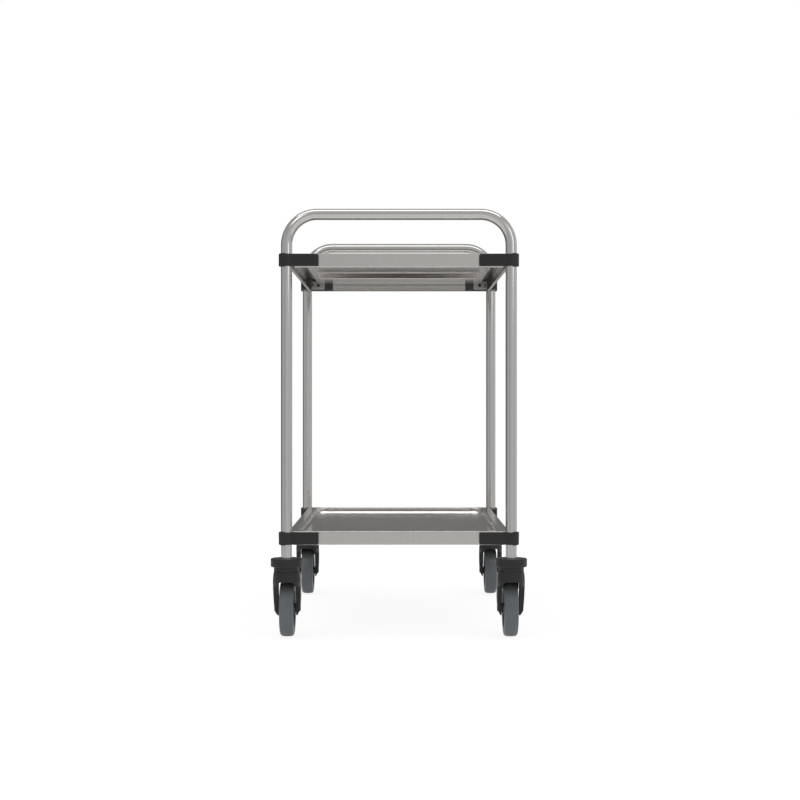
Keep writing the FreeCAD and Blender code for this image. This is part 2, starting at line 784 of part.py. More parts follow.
def wheel_bushes():
    """Two flanged plain bushes pressed into the boss from its ends."""
    bore = axle_radius + axle_play
    wall = bore + bush_wall
    flange = bore + bush_flange_wall
    end = hub_half_length
    seat = end - bush_flange_thickness
    tail = seat - bush_length
    bush = turned([(bore, tail), (wall, tail), (wall, seat), (flange, seat), (flange, end), (bore, end)])
    return laid_on_axle(Part.makeCompound([bush, bush.mirror(ORIGIN, ALONG_Z)]))


def sector(inner, outer, start, end, half_width):
    """Curved bar concentric with the wheel, between two angles from straight up towards the rear."""
    def place(radius, degrees):
        angle = math.radians(degrees)
        return Vector(
            -half_width, caster_trail + radius * math.sin(angle), axle_height + radius * math.cos(angle))
    middle = (start + end) / 2
    wire = Part.Wire([
        arc(place(inner, start), place(inner, middle), place(inner, end)),
        line(place(inner, end), place(outer, end)),
        arc(place(outer, end), place(outer, middle), place(outer, start)),
        line(place(outer, start), place(inner, start)),
    ])
    return Part.Face(wire).extrude(Vector(2 * half_width, 0, 0))


def raised(shape):
    """Tip a brake piece drawn with the pedal pressed down back to its rest position."""
    lifted = shape.copy()
    lifted.rotate(brake_pivot, ALONG_X, brake_angle)
    return lifted


def brake_pedal():
    """Pedal drawn pressed, concentric with the wheel: hub, curved plate, toe with grip bars, side plates."""
    inner = wheel_radius + shoe_gap + shoe_thickness
    outer = inner + pedal_thickness
    toe_half = pedal_half_width + pedal_toe_overhang
    toe_top = outer + pedal_toe_height
    pieces = [
        sector(inner, outer, pedal_start, pedal_end, pedal_half_width),
        sector(inner, toe_top, pedal_toe_start, pedal_end, toe_half),
    ]
    pitch = (pedal_end - pedal_toe_start) / (pedal_grip_count + 0.5)
    for grip in range(pedal_grip_count):
        start = pedal_toe_start + (grip + 0.5) * pitch
        pieces.append(sector(
            toe_top - pedal_grip_height, toe_top + pedal_grip_height, start, start + pedal_grip_sweep,
            toe_half - pedal_grip_height))
    pedal = across(pedal_hub_radius, pedal_half_width, brake_pivot).fuse(pieces)
    pedal = pedal.cut(across(brake_pin_diameter / 2 + brake_pin_play, pedal_half_width, brake_pivot))
    return raised(Part.makeCompound([pedal.removeSplitter()] + side_plates()))


def side_plates():
    """Two plates that hang from the pedal's edges on either side of the tyre and guide it."""
    low = wheel_radius - side_plate_depth
    high = wheel_radius + shoe_gap + shoe_thickness
    inside = tyre_width / 2 + side_plate_gap
    wide = sector(low, high, pedal_start, side_plate_end, pedal_half_width)
    return wide.cut(sector(low, high, pedal_start, side_plate_end, inside)).Solids


def brake_shoe():
    """Rubber pad under the pedal."""
    inner = wheel_radius + shoe_gap
    return raised(sector(inner, inner + shoe_thickness, shoe_start, shoe_end, shoe_width / 2))


def brake_pin():
    """Pin across the ears."""
    return across(brake_pin_diameter / 2, fork_gap_half + brake_ear_wall, brake_pivot)


def frame_nodes():
    """Pieces of the fixed frame."""
    nodes = {}
    tube = end_frame()
    tray = shelf()
    rib = stiffener()
    corner = corner_connector()
    clamp = inner_clamp()
    plate = clamp_plate()
    screws = corner_screws()
    for end_name, end in ENDS.items():
        nodes["end_frame_" + end_name] = tube.translated(Vector(0, end * leg_spacing_y / 2, 0))
    for level, height in (("top", top_shelf_height), ("bottom", bottom_shelf_height)):
        lift = Vector(0, 0, height)
        middle = height - flange_height / 2
        nodes[level + "_shelf"] = tray.translated(lift)
        nodes[level + "_shelf_stiffener"] = rib.translated(lift - Vector(0, 0, pan_depth + sheet_thickness))
        nodes[level + "_inner_clamps"] = at_every_leg(clamp, middle)
        nodes[level + "_clamp_plates"] = at_every_leg(plate, middle)
        nodes[level + "_corner_screws"] = at_every_leg(screws, middle)
        for end_name, end in ENDS.items():
            for side_name, side in SIDES.items():
                name = level + "_corner_" + end_name + "_" + side_name
                nodes[name] = at_leg(corner, side, end, middle)
    return nodes


def caster_nodes():
    """Pieces of the four casters, all trailing to the rear."""
    nodes = {}
    pieces = {
        "bumper_disc": bumper_disc(), "swivel_head": swivel_head(), "swivel_bearing": swivel_bearing(),
        "axle": axle(), "tyre": tyre(), "wheel_hub": wheel_hub(), "wheel_bushes": wheel_bushes(),
    }
    brake_pieces = {"brake_pedal": brake_pedal(), "brake_shoe": brake_shoe(), "brake_pin": brake_pin()}
    forks = {True: fork(True), False: fork(False)}
    for end_name, end in ENDS.items():
        for side_name, side in SIDES.items():
            leg_name = end_name + "_" + side_name
            place = Vector(side * leg_spacing_x / 2, end * leg_spacing_y / 2, 0)
            braked = leg_name in BRAKED
            for piece_name, shape in pieces.items():
                nodes[piece_name + "_" + leg_name] = shape.translated(place)
            nodes["fork_" + leg_name] = forks[braked].translated(place)
            if braked:
                for piece_name, shape in brake_pieces.items():
                    nodes[piece_name + "_" + leg_name] = shape.translated(place)
    nodes["stem_expanders"] = at_every_leg(stem_expander(), 0)
    nodes["kingpin_nuts"] = at_every_leg(kingpin_nut(), 0)
    return nodes


def write_parts():
    """Write each node to its own file, with the origin under the middle of the cart."""
    os.makedirs("parts", exist_ok=True)
    nodes = frame_nodes()
    nodes.update(caster_nodes())
    for name, shape in nodes.items():
        shape.translated(Vector(0, cart_shift, 0)).exportStep("parts/" + name + ".step")
        print(name, len(shape.Solids), shape.isValid(), round(shape.Volume))


write_parts()
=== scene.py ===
import json
import math
import bpy
import numpy as np
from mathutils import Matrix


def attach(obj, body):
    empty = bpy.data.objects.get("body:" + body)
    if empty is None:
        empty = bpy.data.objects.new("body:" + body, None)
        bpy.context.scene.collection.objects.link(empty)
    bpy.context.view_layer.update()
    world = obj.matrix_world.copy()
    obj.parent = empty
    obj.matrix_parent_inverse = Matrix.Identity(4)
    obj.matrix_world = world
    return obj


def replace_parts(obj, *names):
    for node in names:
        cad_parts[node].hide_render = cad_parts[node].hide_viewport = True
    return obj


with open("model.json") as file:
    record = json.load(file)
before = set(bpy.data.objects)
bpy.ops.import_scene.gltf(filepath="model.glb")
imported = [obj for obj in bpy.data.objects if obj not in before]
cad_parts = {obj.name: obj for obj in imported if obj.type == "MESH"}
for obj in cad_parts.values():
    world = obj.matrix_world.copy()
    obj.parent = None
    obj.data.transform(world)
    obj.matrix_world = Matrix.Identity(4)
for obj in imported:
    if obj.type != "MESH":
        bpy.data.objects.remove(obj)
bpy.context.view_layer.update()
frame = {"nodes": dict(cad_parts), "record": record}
nodes = frame["nodes"]

# Sizes in metres, counts and the brake's angle, the same as those of the solids
leg_half_x = 0.250
leg_half_y = 0.400
cart_shift = -0.0296
tube_radius = 0.0125
tube_wall = 0.0015
handle_axis_height = 0.9435
handle_bend_radius = 0.068
leg_bottom = 0.1752
caster_trail = 0.032
wheel_radius = 0.0625
axle_radius = 0.004
axle_seat = 0.0272
axle_head_end = 0.0296
axle_head_radius = 0.0065
tyre_half = 0.0155
tyre_shoulder = 0.0065
tyre_crown = 0.0008
rim_radius = 0.0475
rim_inside = 0.0425
hub_boss_radius = 0.012
hub_end = 0.0184
hub_bore_radius = 0.00656
hub_web = 0.003
hub_spoke_top = 0.0115
hub_spoke_half = 0.002
hub_spoke_count = 6
shelf_middles = {"top": 0.8415, "bottom": 0.2225}
plate_inside = 0.0152
screw_tip = -0.006
screw_radius = 0.002
screw_head_radius = 0.00375
screw_head_height = 0.0026
screw_place = 0.031
sheet_wall = 0.0012
pan_undersides = {"top": 0.8438, "bottom": 0.2248}
stiffener_half = 0.2015
stiffener_slant = 0.006
stiffener_height = 0.014
stiffener_cap = 0.0136
stiffener_mouth = 0.0266
stiffener_lip = 0.038
stiffener_bend = 0.0025
clamp_inside = 0.0132
plate_length = 0.048
plate_half_height = 0.011
plate_bend = 0.0025
plate_corner = 0.003
brake_angle = math.radians(12.0)
brake_pivot = np.array([0.0, 0.042, 0.136])
pedal_half = 0.0195
pedal_inside = 0.0671
pedal_outside = 0.0711
toe_overhang = 0.003
toe_height = 0.006
grip_height = 0.0012
guide_inside = 0.0168
guide_low = 0.0425
guide_corner = 0.004
pedal_hub_radius = 0.006
pedal_bore = 0.00256

# Places of the pedal's parts round the wheel, in degrees to the rear of straight up, and their sweeps
pedal_start = 4.0
pedal_end = 47.0
guide_end = 28.0
guide_corner_rows = 4.5
toe_start = 37.0
toe_ramp = 1.4
grip_starts = (38.43, 41.29, 44.14)
grip_sweep = 1.6
grip_ramp = 0.5

# Fine forms that only the looks have, in metres
tyre_play = 0.00005
tyre_lip = 0.0003
groove_place = 0.0042
groove_depth = 0.0005
groove_width = 0.0007
mould_line = 0.00015
mould_line_width = 0.0003
hub_lip = 0.0004
rim_flank = 0.0024
rim_lip = 0.0006
boss_round = 0.0008
boss_flank = 0.0022
spoke_round = 0.0006
spoke_flank = 0.0008
spoke_dip = 0.0012
recess_half = 0.00125
recess_floor = 0.0008
dome_start = 0.0021
dome_foot = 0.0011
screw_edge = 0.0001
screw_chamfer = 0.0005
weld_line = 0.033
weld_reach = 0.170
weld_count = 6
weld_dent = 0.0003
weld_radius = 0.0024
plate_edge = 0.0004
plate_flat = 0.004
pedal_edge = 0.0012
grip_end = 0.0014
grip_end_flat = 0.0026
guide_edge = 0.0005
barrel_edge = 0.0008

# Rows and steps of the grids; a row close to an edge keeps the shading flat up to it
edge_row = 0.0002
tube_end_row = 0.002
tyre_lip_row = 0.0001
tyre_wall_row = 0.0006
mould_line_row = 0.0008
hub_face_row = 0.0085
hub_open_rows = (0.0165, 0.0385)
hub_fan_radius = 0.0105
stiffener_last_row = 0.19
weld_rows = 0.005
tube_steps = 48
tyre_steps = 144
rivet_steps = 48
screw_steps = 36
barrel_steps = 40
floor_steps = 96
tyre_uv_span = 0.1

# Camera and floor of the studio
photo_lens = 71.9
photo_sensor = 36.0
photo_place = (0.0025, -3.9869, 0.5303)
floor_radius = 2.2

LEGS = {"front_left": (-1, -1), "front_right": (1, -1), "rear_left": (-1, 1), "rear_right": (1, 1)}
BRAKED = ("front_right", "rear_left")
FRAME_BODY = "cart_frame"


# Surfaces

def grid_faces(rows, columns, closed_rows=False, closed_columns=False):
    """Quads between neighbours of a rows by columns grid; a closed direction joins its end to its start."""
    row = np.arange(rows if closed_rows else rows - 1)
    column = np.arange(columns if closed_columns else columns - 1)
    row, column = np.meshgrid(row, column, indexing="ij")
    below = (row + 1) % rows
    right = (column + 1) % columns
    corners = [row * columns + column, row * columns + right,
               below * columns + right, below * columns + column]
    return np.stack(corners, axis=-1).reshape(-1, 4)


def capped_faces(rows, columns):
    """Quads of a closed ring carried along rows; its opposite sides are joined to close either end."""
    half = np.arange(columns // 2 - 1)
    cap = np.stack([half, half + 1, columns - 2 - half, columns - 1 - half], axis=-1)
    far = cap + (rows - 1) * columns
    return np.concatenate([grid_faces(rows, columns, closed_columns=True), cap[:, ::-1], far])


def surface_mesh(name, points, faces, uv=None):
    """Mesh of a point array and a quad array, smooth shaded, with an optional UV per face corner."""
    mesh = bpy.data.meshes.new(name)
    mesh.vertices.add(len(points))
    mesh.vertices.foreach_set("co", np.ascontiguousarray(points, np.float32).ravel())
    mesh.loops.add(faces.size)
    mesh.loops.foreach_set("vertex_index", np.ascontiguousarray(faces, np.int32).ravel())
    mesh.polygons.add(len(faces))
    mesh.polygons.foreach_set("loop_start", np.arange(len(faces), dtype=np.int32) * faces.shape[1])
    mesh.polygons.foreach_set("use_smooth", np.ones(len(faces), bool))
    if uv is not None:
        layer = mesh.uv_layers.new(name="grain")
        layer.data.foreach_set("uv", np.ascontiguousarray(uv, np.float32).ravel())
    mesh.update(calc_edges=True)
    mesh.validate()
    return mesh


def piece(name, mesh, body, material):
    """Object at the origin that rides on a body and takes the finish it is given."""
    made = bpy.data.objects.new(name, mesh)
    bpy.context.scene.collection.objects.link(made)
    mesh.materials.append(material)
    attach(made, body)
    return made


def smooth_step(value, low, high):
    """Cubic ease from 0 at low to 1 at high."""
    share = np.clip((value - low) / (high - low), 0.0, 1.0)
    return share * share * (3 - 2 * share)


def drawn_in(reach, radius):
    """How far a rounded end lies inside the square one, at a reach from the end along the edge."""
    inside = radius - np.minimum(reach, radius)
    return radius - np.sqrt(radius ** 2 - inside ** 2)


def turned_points(radius, along, steps):
    """Circle of each radius at its place along the Z axis, as rows of a grid."""
    angle = np.linspace(0, 2 * math.pi, steps, endpoint=False)
    radius = np.asarray(radius)[:, None]
    along = np.broadcast_to(np.asarray(along)[:, None], (len(radius), steps))
    return np.stack([radius * np.cos(angle), radius * np.sin(angle), along], axis=-1)


def turns_round(column, steps):
    """Share of a turn at each corner of a quad, with 1 in place of 0 on the quads that close the ring."""
    closing = column.max(axis=1, keepdims=True) == steps - 1
    return np.where((column == 0) & closing, steps, column) / steps


def read_along(places, run, *lines):
    """Lines of flat points or normals, given along a run, read off at other places along it."""
    return [np.stack([np.interp(places, run, line[:, axis]) for axis in (0, 1)], axis=-1) for line in lines]


def rounded_line(corners, radius, spacing):
    """Line through corners, swept round at the inner ones, its unit normals on the left and its length.

    An arc starts and ends where it touches its two lines, at its radius times the tangent of half the turn
    from the corner. Points follow at an even spacing, with one close to either end.
    """
    corners = np.asarray(corners, float)
    way = np.diff(corners, axis=0)
    way /= np.linalg.norm(way, axis=1, keepdims=True)
    left = np.stack([-way[:, 1], way[:, 0]], axis=-1)
    points = [corners[:1]]
    normals = [left[:1]]
    for corner, before, after, side in zip(corners[1:-1], way[:-1], way[1:], left[:-1]):
        turn = math.atan2(before[0] * after[1] - before[1] * after[0], before @ after)
        angle = np.linspace(0, turn, 9)[:, None]
        normal = side * np.cos(angle) + np.array([-side[1], side[0]]) * np.sin(angle)
        hand = radius * np.sign(turn)
        centre = corner - before * radius * math.tan(abs(turn) / 2) + side * hand
        points.append(centre - normal * hand)
        normals.append(normal)
    line = np.concatenate(points + [corners[-1:]])
    normal = np.concatenate(normals + [left[-1:]])
    length = np.concatenate([[0.0], np.cumsum(np.linalg.norm(np.diff(line, axis=0), axis=1))])
    even = np.arange(spacing, length[-1], spacing)
    dense = np.unique(np.concatenate([length, even, [edge_row, length[-1] - edge_row]]))
    line, normal = read_along(dense, length, line, normal)
    return line, normal / np.linalg.norm(normal, axis=1, keepdims=True), dense


def leg_place(leg):
    """Middle of a leg on the floor plane."""
    side, end = LEGS[leg]
    return np.array([side * leg_half_x, end * leg_half_y + cart_shift, 0.0])


def about_axle(points, leg):
    """Turn a shape round Z so that it lies round the wheel axle of a leg, which runs along X."""
    return points[..., [2, 0, 1]] + leg_place(leg) + np.array([0.0, caster_trail, wheel_radius])


# End frames

def frame_path():
    """Handle line in its plane as (across, up, turn, length): up the left leg, over the bends and down.

    A straight run adds length at a fixed turn; a bend turns by 90 degrees at the bend radius.
    """
    top = handle_axis_height
    knee = top - handle_bend_radius
    wrist = leg_half_x - handle_bend_radius
    bend = np.linspace(0, math.pi / 2, 25)
    leg = np.linspace(leg_bottom + tube_end_row, knee, 40)[:-1]
    rise = np.concatenate([[leg_bottom, leg_bottom + edge_row], leg])
    across = np.linspace(-wrist, wrist, 30)[1:-1]
    left_x = -wrist - handle_bend_radius * np.cos(bend)
    left_z = knee + handle_bend_radius * np.sin(bend)
    x = np.concatenate([np.full_like(rise, -leg_half_x), left_x, across, -left_x[::-1],
                        np.full_like(rise, leg_half_x)])
    z = np.concatenate([rise, left_z, np.full_like(across, top), left_z[::-1], rise[::-1]])
    turn = np.concatenate([np.zeros_like(rise), bend, np.full_like(across, math.pi / 2),
                           math.pi - bend[::-1], np.full_like(rise, math.pi)])
    steps = np.hypot(np.diff(x), np.diff(z))
    return x, z, turn, np.concatenate([[0.0], np.cumsum(steps)])


def frame_tube(end_name, end, material):
    """Bent tube: a circle carried along the handle line, out along the outer wall and back along the bore.

    Point = path + radius * (cos a * normal + sin a * Y), where the normal is the path's direction turned by
    90 degrees in its plane. The UV runs along the tube in metres and once round it.
    """
    x, z, turn, length = frame_path()
    angle = np.linspace(0, 2 * math.pi, tube_steps, endpoint=False)
    walls = []
    for radius in (tube_radius, tube_radius - tube_wall):
        reach = radius * np.cos(angle)[None, :]
        across = x[:, None] - reach * np.cos(turn)[:, None]
        up = z[:, None] + reach * np.sin(turn)[:, None]
        along = np.broadcast_to(radius * np.sin(angle)[None, :], up.shape)
        walls.append(np.stack([across, along + end * leg_half_y + cart_shift, up], axis=-1))
    points = np.concatenate([walls[0], walls[1][::-1]])
    faces = grid_faces(len(points), tube_steps, closed_rows=True, closed_columns=True)[:, ::-1]
    run = np.concatenate([length, length[::-1]])
    row, column = np.divmod(faces, tube_steps)
    uv = np.stack([run[row], turns_round(column, tube_steps)], axis=-1)
    mesh = surface_mesh("tube_" + end_name, points.reshape(-1, 3), faces, uv)
    made = piece("tube_" + end_name, mesh, FRAME_BODY, material)
    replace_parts(made, "end_frame_" + end_name)


# Wheels

def tyre_profile():
    """Half outline of the tyre as (radius, distance from the middle plane), from the bore to mid tread.

    Flat side wall with a shallow groove, a quarter round for the shoulder, then the crowned tread, which
    ends in the fine raised line that the two halves of the mould leave.
    """
    inner = wheel_radius - tyre_crown - tyre_shoulder
    wall = np.concatenate([[rim_radius, rim_radius + tyre_lip_row],
                           np.linspace(rim_radius + tyre_wall_row, inner, 26)])
    groove = groove_depth * np.exp(-((wall - rim_radius - groove_place) / groove_width) ** 2)
    wall_side = tyre_half - groove
    wall_side[0] -= tyre_lip
    turn = np.linspace(0, math.pi / 2, 14)[1:]
    shoulder = inner + tyre_shoulder * np.sin(turn)
    shoulder_side = tyre_half - tyre_shoulder * (1 - np.cos(turn))
    tread_half = tyre_half - tyre_shoulder
    tread_side = np.concatenate([np.linspace(tread_half, mould_line_row, 14)[1:],
                                 np.linspace(mould_line_row - edge_row, 0.0, 6)])
    crown = (tyre_crown - mould_line - tyre_play) * (1 - (tread_side / tread_half) ** 2)
    line = mould_line * np.exp(-(tread_side / mould_line_width) ** 2)
    tread = wheel_radius - tyre_crown + crown + line
    return np.concatenate([wall, shoulder, tread]), np.concatenate([wall_side, shoulder_side, tread_side])


def wheel_tyre(leg, material):
    """Tyre: its half outline and the mirror of it, turned about the axle. The UV runs round and across."""
    radius, side = tyre_profile()
    radius = np.concatenate([radius, radius[-2::-1]])
    side = np.concatenate([side, -side[-2::-1]])
    points = about_axle(turned_points(radius, side, tyre_steps), leg).reshape(-1, 3)
    faces = grid_faces(len(radius), tyre_steps, closed_rows=True, closed_columns=True)[:, ::-1]
    row, column = np.divmod(faces, tyre_steps)
    reach = np.cumsum(np.hypot(np.diff(radius, prepend=radius[0]), np.diff(side, prepend=side[0])))
    across = (reach - reach[-1] / 2) / tyre_uv_span + 0.5
    uv = np.stack([turns_round(column, tyre_steps), across[row]], axis=-1)
    mesh = surface_mesh("rubber_" + leg, points, faces, uv)
    made = piece("rubber_" + leg, mesh, "wheel_" + leg, material)
    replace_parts(made, "tyre_" + leg)


def hub_rows():
    """Radii of the hub's grid: close together on the flanks of boss and rim and at the rim's lip."""
    return np.concatenate([
        [hub_bore_radius, hub_bore_radius + edge_row],
        np.linspace(hub_face_row, hub_boss_radius - boss_round, 3),
        np.linspace(hub_boss_radius - 3 * edge_row, hub_boss_radius + boss_flank + edge_row, 13),
        np.linspace(*hub_open_rows, 12),
        np.linspace(rim_inside - rim_flank - edge_row / 2, rim_inside + edge_row / 2, 13),
        rim_radius - edge_row * np.array([15, 4, 3, 2, 1, 0])])


def hub_columns(radius):
    """Angles of the hub's grid at each radius: lines along each spoke, fanned out between spokes."""
    beside = np.array([1.4, 1.9, 2.3, 2.7, 3.2, 4.0]) / 1000
    offset = np.concatenate([-beside[::-1], [0.0], beside])
    sector = 2 * math.pi / hub_spoke_count
    near = np.arcsin(offset[None, :] / np.maximum(radius, hub_fan_radius)[:, None])
    share = np.linspace(0, 1, 10)[1:-1]
    between = near[:, -1:] + share[None, :] * (sector - 2 * near[:, -1:])
    one = np.concatenate([near, between], axis=1)
    return np.concatenate([one + spoke * sector for spoke in range(hub_spoke_count)], axis=1)


def hub_height(radius, angle):
    """Half thickness of the hub: the greatest of web, rim, boss and spokes, all with sloping flanks."""
    sector = 2 * math.pi / hub_spoke_count
    off_spoke = np.abs(radius * np.sin((angle + sector / 2) % sector - sector / 2))
    rim = hub_web + (tyre_half - hub_web) * smooth_step(radius, rim_inside - rim_flank, rim_inside)
    rim = rim - rim_lip * smooth_step(radius, rim_radius - rim_lip, rim_radius)
    off_boss = smooth_step(radius, hub_boss_radius - boss_round, hub_boss_radius + boss_flank)
    boss = hub_end - (hub_end - hub_web) * off_boss
    along_spoke = np.clip((radius - hub_boss_radius) / (rim_inside - hub_boss_radius), 0, 1)
    dip = spoke_dip * np.sin(along_spoke * math.pi)
    on_spoke = 1 - smooth_step(off_spoke, hub_spoke_half - spoke_round, hub_spoke_half + spoke_flank)
    spoke = (hub_spoke_top - dip - hub_web) * on_spoke
    return np.maximum(np.maximum(rim, boss), hub_web + spoke)


def wheel_centre(leg, material):
    """Spoked hub: one side is its half thickness over radius and angle, the other side its mirror."""
    radius = hub_rows()
    angle = hub_columns(radius)
    across = radius[:, None] + np.zeros_like(angle)
    height = hub_height(across, angle)
    height[0] -= hub_lip
    side = np.stack([across * np.cos(angle), across * np.sin(angle), height], axis=-1)
    points = about_axle(np.concatenate([side, side[::-1] * [1, 1, -1]]), leg).reshape(-1, 3)
    faces = grid_faces(2 * len(radius), angle.shape[1], closed_rows=True, closed_columns=True)[:, ::-1]
    mesh = surface_mesh("hub_" + leg, points, faces)
    made = piece("hub_" + leg, mesh, "wheel_" + leg, material)
    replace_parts(made, "wheel_hub_" + leg)


def rivet_profile():
    """Half outline of the axle rivet as (radius, distance from the middle): dimple, round head, shaft.

    Each pair gives a radius and the depth below the head's highest place.
    """
    thick = axle_head_end - axle_seat
    dimple = [(0.0, 0.00055), (0.0006, 0.00055), (0.0012, 0.0005), (0.0018, 0.0003), (0.0023, 0.00008)]
    crown = [(0.0028, 0.0), (0.0042, 0.00003), (0.0053, 0.00012), (0.0059, 0.00032), (0.0063, 0.00072)]
    edge = [(axle_head_radius, thick / 2), (axle_head_radius, thick - 0.00005)]
    underside = [(axle_head_radius - 0.0001, thick), (axle_radius + 0.00002, thick)]
    shaft = [(axle_radius, thick + 0.00005)]
    radius, depth = np.array(dimple + crown + edge + underside + shaft).T
    return radius, axle_head_end - depth


def wheel_rivet(leg, material):
    """Axle rivet: its half outline and the mirror of it, turned about the axle."""
    radius, along = rivet_profile()
    radius = np.concatenate([radius, radius[::-1]])
    along = np.concatenate([along, -along[::-1]])
    points = about_axle(turned_points(radius, along, rivet_steps), leg).reshape(-1, 3)
    faces = grid_faces(len(radius), rivet_steps, closed_columns=True)[:, ::-1]
    mesh = surface_mesh("rivet_" + leg, points, faces)
    made = piece("rivet_" + leg, mesh, "caster_" + leg, material)
    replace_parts(made, "axle_" + leg)


# Corner screws, plates and stiffeners of the shelves

def screw_points():
    """Pan-head screw along Z, its head's underside at 0: from the recess floor over the dome to the tip.

    In the recess the radius is that of a hexagon: its half width divided by the cosine of the angle from the
    nearest flat.
    """
    angle = np.linspace(0, 2 * math.pi, screw_steps, endpoint=False)
    hexagon = recess_half / np.cos((angle + math.pi / 6) % (math.pi / 3) - math.pi / 6)
    recess = [(0.0 * hexagon, recess_floor), (hexagon * 0.97, recess_floor),
              (hexagon, recess_floor + screw_edge), (hexagon, screw_head_height - screw_edge),
              (hexagon + screw_edge, screw_head_height)]
    bend = np.linspace(0, math.pi / 2, 8)
    dome_radius = dome_start + (screw_head_radius - dome_start) * np.sin(bend)
    dome_height = dome_foot + (screw_head_height - dome_foot) * np.cos(bend)
    tip = screw_tip - plate_inside
    shank = [(screw_head_radius, screw_edge), (screw_head_radius - screw_edge, 0.0),
             (screw_radius + screw_edge, 0.0), (screw_radius, -screw_edge),
             (screw_radius, tip + screw_chamfer), (screw_radius - screw_chamfer, tip), (0.0, tip)]
    rounds = list(zip(dome_radius, dome_height)) + shank
    rows = recess + [(np.full(screw_steps, radius), height) for radius, height in rounds]
    radius = np.stack([row_radius for row_radius, _ in rows])
    height = np.array([row_height for _, row_height in rows])[:, None] + np.zeros(screw_steps)
    return np.stack([radius * np.cos(angle), radius * np.sin(angle), height], axis=-1)


def screw_places(level):
    """Head seat and inward direction of each corner screw of a shelf: one in either arm of a connector."""
    height = shelf_middles[level]
    places = []
    for side, end in LEGS.values():
        across = side * (leg_half_x - screw_place)
        along = end * (leg_half_y - plate_inside) + cart_shift
        places.append((np.array([across, along, height]), np.array([0.0, -end, 0.0])))
        across = side * (leg_half_x - plate_inside)
        along = end * (leg_half_y - screw_place) + cart_shift
        places.append((np.array([across, along, height]), np.array([-side, 0.0, 0.0])))
    return places


def corner_screws(level, material):
    """All corner screws of one shelf: the same turned screw laid along each screw's direction."""
    one = screw_points()
    faces = grid_faces(*one.shape[:2], closed_columns=True)[:, ::-1]
    count = one.shape[0] * one.shape[1]
    up = np.array([0.0, 0.0, 1.0])
    points = []
    quads = []
    for number, (seat, inward) in enumerate(screw_places(level)):
        across = np.cross(up, inward)
        points.append((seat + one @ np.stack([across, up, inward])).reshape(-1, 3))
        quads.append(faces + number * count)
    name = level + "_screws"
    mesh = surface_mesh(name, np.concatenate(points), np.concatenate(quads))
    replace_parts(piece(name, mesh, FRAME_BODY, material), level + "_corner_screws")


def shelf_stiffener(level, material):
    """Hat channel: the sheet's two faces either side of its bent middle line, carried across the cart.

    Both ends slant in by the share of the height below the lips. Each spot weld dents the lip by a bell
    curve of the distance from its middle.
    """
    middle = sheet_wall / 2
    cap = middle - stiffener_height
    right = [(stiffener_cap, cap), (stiffener_mouth, -middle), (stiffener_lip, -middle)]
    left = [(-y, z) for y, z in right[::-1]]
    line, normal, _ = rounded_line(left + right, stiffener_bend, spacing=0.001)
    ring = np.concatenate([line + normal * middle, (line - normal * middle)[::-1]])
    welds = np.linspace(-weld_reach, weld_reach, weld_count)
    near = (welds[:, None] + np.linspace(-weld_rows, weld_rows, 11)).ravel()
    ends = np.array([1.0, 0.999, 0.995]) * stiffener_half
    even = np.linspace(-stiffener_last_row, stiffener_last_row, 21)
    rows = np.unique(np.round(np.concatenate([-ends, ends, near, even]), 6))
    across = rows[:, None] * (1 + stiffener_slant / stiffener_half * ring[:, 1] / stiffener_height)
    away = np.abs(across[..., None] - welds).min(axis=-1) ** 2 + (np.abs(ring[:, 0]) - weld_line) ** 2
    dent = weld_dent * np.exp(-away / weld_radius ** 2) * (ring[:, 1] < -middle)
    along = np.broadcast_to(ring[:, 0] + cart_shift, across.shape)
    up = pan_undersides[level] + ring[:, 1] + dent
    points = np.stack([across, along, up], axis=-1).reshape(-1, 3)
    name = level + "_stiffener"
    mesh = surface_mesh(name, points, capped_faces(len(rows), len(ring))[:, ::-1])
    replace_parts(piece(name, mesh, FRAME_BODY, material), level + "_shelf_stiffener")


def plate_ring(half):
    """Section of a clamp plate as a ring of (offset from its middle line, inset from its edge, up or down).

    Either face goes from the rounded lower edge over its flat to the rounded upper edge.
    """
    edge_inset = np.array([0.0, plate_edge / 4, plate_edge, plate_flat])
    edge_offset = half * np.array([0.6, 0.9, 1.0, 1.0])
    inset = np.concatenate([edge_inset, edge_inset[::-1]])
    offset = np.concatenate([edge_offset, edge_offset[::-1]])
    sign = np.repeat([-1.0, 1.0], len(edge_inset))
    return [np.concatenate([face, other[::-1]])
            for face, other in ((offset, -offset), (inset, inset), (sign, sign))]


def clamp_plates(level, material):
    """Bent plates of one shelf: a rounded section carried round an L, its height drawn in at both ends."""
    half = (plate_inside - clamp_inside) / 2
    seat = clamp_inside + half
    bend = [(plate_length, seat), (seat, seat), (seat, plate_length)]
    line, normal, run = rounded_line(bend, plate_bend, spacing=0.002)
    ends = np.linspace(plate_edge, plate_corner, 7)
    places = np.unique(np.concatenate([run, ends, run[-1] - ends]))
    line, normal = read_along(places, run, line, normal)
    lowered = drawn_in(np.minimum(places, run[-1] - places), plate_corner)
    offset, inset, sign = plate_ring(half)
    up = sign * (plate_half_height - lowered[:, None] - inset)
    flat = line[:, None, :] + normal[:, None, :] * offset[:, None]
    faces = capped_faces(len(places), len(offset))
    points = []
    quads = []
    for number, (side, end) in enumerate(LEGS.values()):
        x = side * (leg_half_x - flat[..., 0])
        y = end * (leg_half_y - flat[..., 1]) + cart_shift
        points.append(np.stack([x, y, up + shelf_middles[level]], axis=-1).reshape(-1, 3))
        turned = faces if side * end > 0 else faces[:, ::-1]
        quads.append(turned + number * up.size)
    name = level + "_plates"
    mesh = surface_mesh(name, np.concatenate(points), np.concatenate(quads))
    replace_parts(piece(name, mesh, FRAME_BODY, material), level + "_clamp_plates")


# Brake pedals

